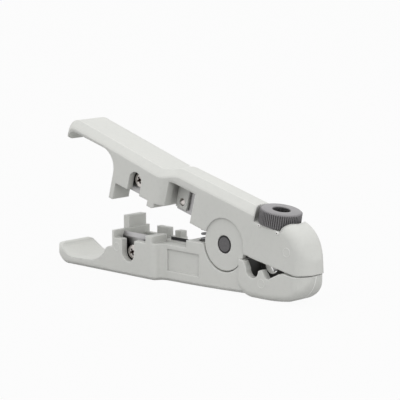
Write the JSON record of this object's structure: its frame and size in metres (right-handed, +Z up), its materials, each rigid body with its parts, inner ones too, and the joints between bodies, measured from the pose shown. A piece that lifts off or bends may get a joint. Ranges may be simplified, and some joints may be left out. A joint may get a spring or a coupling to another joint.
{
  "type": "cable jacket stripper",
  "caption": "Squeeze-handled cable jacket stripper with sprung levers, a notched jaw, a knurled blade-depth knob, a cutter station and a flat-cable station",
  "frame": {"origin": "middle of the bounding box on the floor the lower lever stands on, handles open", "axes": "+X along the tool towards the jaw, +Y across it towards the far side, +Z up"},
  "size_m": [0.1264, 0.0188, 0.0565],
  "materials": {
    "body_plastic": "fine matte moulded",
    "knob_plastic": "satin, knurled",
    "blade_steel": "ground",
    "blade_black": "blackened",
    "screw_nickel": "bright nickel",
    "spring_steel": "drawn wire",
    "pin_steel": "black oxide",
    "washer_nylon": "plain",
    "carrier_brass": "machined"
  },
  "bodies": {
    "lower": {"lower_lever": "body_plastic", "hinge_pin": "pin_steel", "hinge_clip": "spring_steel", "handle_spring": "spring_steel", "lower_cutter_blade": "blade_steel", "lower_cutter_screw": "screw_nickel", "lower_flat_blade": "blade_black", "lower_flat_screw": "screw_nickel"},
    "upper": {"upper_lever": "body_plastic", "upper_cutter_blade": "blade_steel", "upper_cutter_screw": "screw_nickel", "upper_flat_blade": "blade_steel", "upper_flat_screw": "screw_nickel", "friction_washer": "washer_nylon"},
    "knob": {"adjuster_knob": "knob_plastic", "adjuster_screw": "pin_steel", "adjuster_clip": "spring_steel"},
    "carrier": {"blade_carrier": "carrier_brass", "strip_blade": "blade_steel", "strip_blade_screw": "screw_nickel"}
  },
  "joints": [
    {"name": "lever_hinge", "type": "hinge", "parent": "lower", "child": "upper", "pos_m": [0.02365, 0, 0.0176], "axis": [0, -1, 0], "range_deg": [0, 17.4], "stiffness_Nm_per_rad": 0.25, "springref_deg": -68.75, "deforming": ["handle_spring"]},
    {"name": "knob_turn", "type": "hinge", "parent": "upper", "child": "knob", "pos_m": [0.04525, 0, 0.02672], "axis": [0.1736, 0, 0.9848], "range_deg": [-720, 720]},
    {"name": "blade_depth", "type": "slide", "parent": "upper", "child": "carrier", "axis": [-0.1736, 0, -0.9848], "range_m": [-0.001, 0.001]}
  ],
  "couplings": [
    {"joint": "knob_turn", "follows": "blade_depth", "rad_per_m": 12566}
  ]
}
